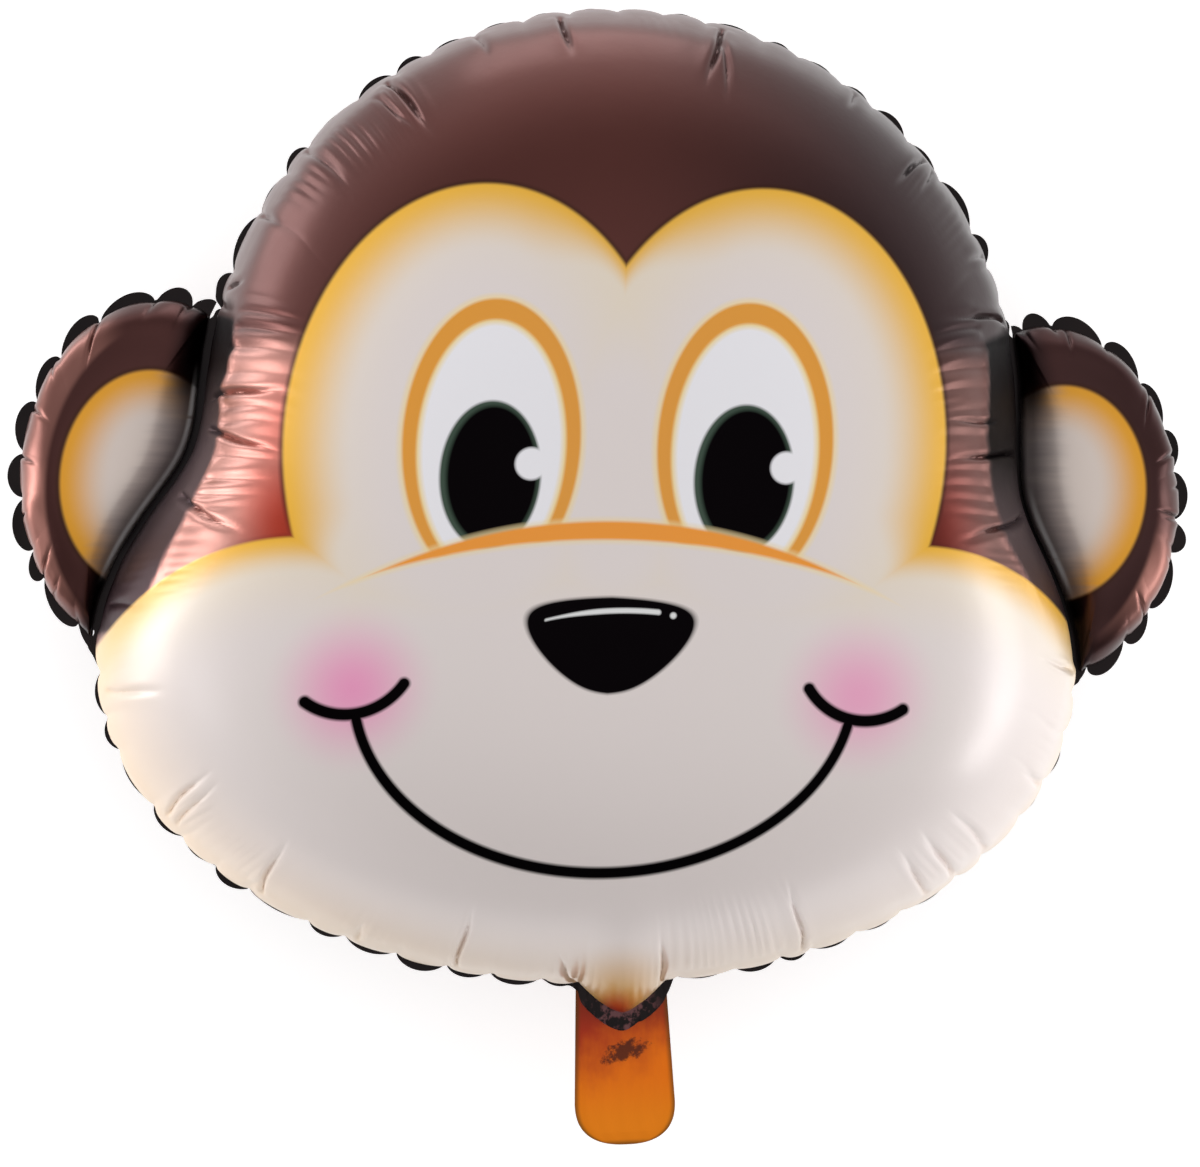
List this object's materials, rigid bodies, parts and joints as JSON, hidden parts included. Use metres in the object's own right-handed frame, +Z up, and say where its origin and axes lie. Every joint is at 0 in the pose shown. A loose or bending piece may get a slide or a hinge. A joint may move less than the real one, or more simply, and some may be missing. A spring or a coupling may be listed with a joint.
{
  "type": "foil monkey balloon",
  "caption": "Inflated foil balloon shaped as a smiling monkey's head with two ears and a flat filling tail, lying on its back with its face up.",
  "frame": {"origin": "centre of the footprint, on the surface that the balloon lies on", "axes": "+Z up out of the face, from the back sheet to the front sheet; +X across the head to the viewer's right, ear to ear; +Y from the tail to the top of the head"},
  "size_m": [0.6434, 0.619, 0.2951],
  "materials": {
    "printed_front": "satin metallised plastic film, printed",
    "plain_back": "satin metallised plastic film, brown all over"
  },
  "bodies": {
    "root": {"front_sheet": "printed_front", "back_sheet": "plain_back"}
  },
  "joints": []
}
